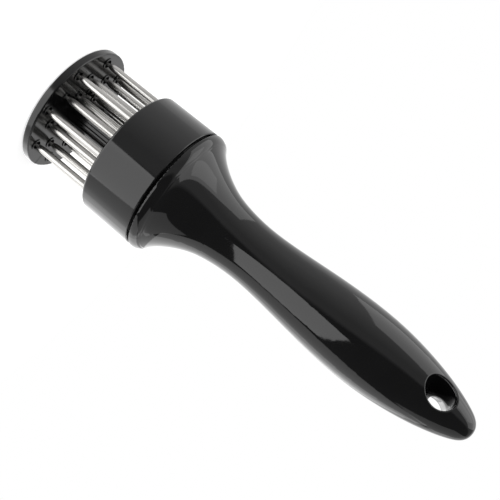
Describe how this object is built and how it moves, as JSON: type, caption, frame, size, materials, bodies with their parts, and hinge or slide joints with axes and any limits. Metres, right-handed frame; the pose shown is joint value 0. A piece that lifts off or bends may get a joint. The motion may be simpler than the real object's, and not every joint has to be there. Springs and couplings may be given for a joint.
{
  "type": "needle meat tenderizer",
  "caption": "Hand-held meat tenderizer: black waisted handle with a hanging eye, drum head holding steel needles, and a sprung round guard plate that slides back over them.",
  "frame": {"origin": "centre of the guard plate's outer face, on which the tool stands", "axes": "+Z along the tool from the guard plate to the end of the handle, Y along the hanging eye's bore, X across it"},
  "size_m": [0.055, 0.055, 0.2],
  "materials": {
    "handle_plastic": "polished black ABS",
    "collar_plastic": "polished black ABS",
    "guard_plastic": "mirror-polished black ABS",
    "post_plastic": "black acetal",
    "needle_steel": "polished stainless steel",
    "plate_steel": "stamped stainless sheet",
    "screw_steel": "bright stainless",
    "washer_steel": "stamped stainless sheet",
    "washer_rubber": "matt rubber",
    "spring_steel": "drawn spring wire"
  },
  "bodies": {
    "handle_body": {"handle": "handle_plastic", "collar": "collar_plastic", "needle_backing_plate": "plate_steel", "needle_outer_1": "needle_steel", "needle_outer_2": "needle_steel", "needle_outer_3": "needle_steel", "needle_outer_4": "needle_steel", "needle_outer_5": "needle_steel", "needle_outer_6": "needle_steel", "needle_outer_7": "needle_steel", "needle_outer_8": "needle_steel", "needle_inner_1": "needle_steel", "needle_inner_2": "needle_steel", "needle_inner_3": "needle_steel", "needle_inner_4": "needle_steel", "needle_inner_5": "needle_steel", "needle_inner_6": "needle_steel", "needle_inner_7": "needle_steel", "needle_inner_8": "needle_steel", "head_screws": "screw_steel", "stop_washer": "washer_rubber", "return_spring": "spring_steel"},
    "guard_body": {"guard_plate": "guard_plastic", "guide_post": "post_plastic", "guard_screw": "screw_steel", "spring_washer": "washer_steel"}
  },
  "joints": [
    {"name": "guard_slide", "type": "slide", "parent": "handle_body", "child": "guard_body", "axis": [0, 0, 1], "range_m": [0, 0.027], "stiffness_N_per_m": 400, "springref_m": -0.015, "deforming": ["return_spring"]}
  ]
}
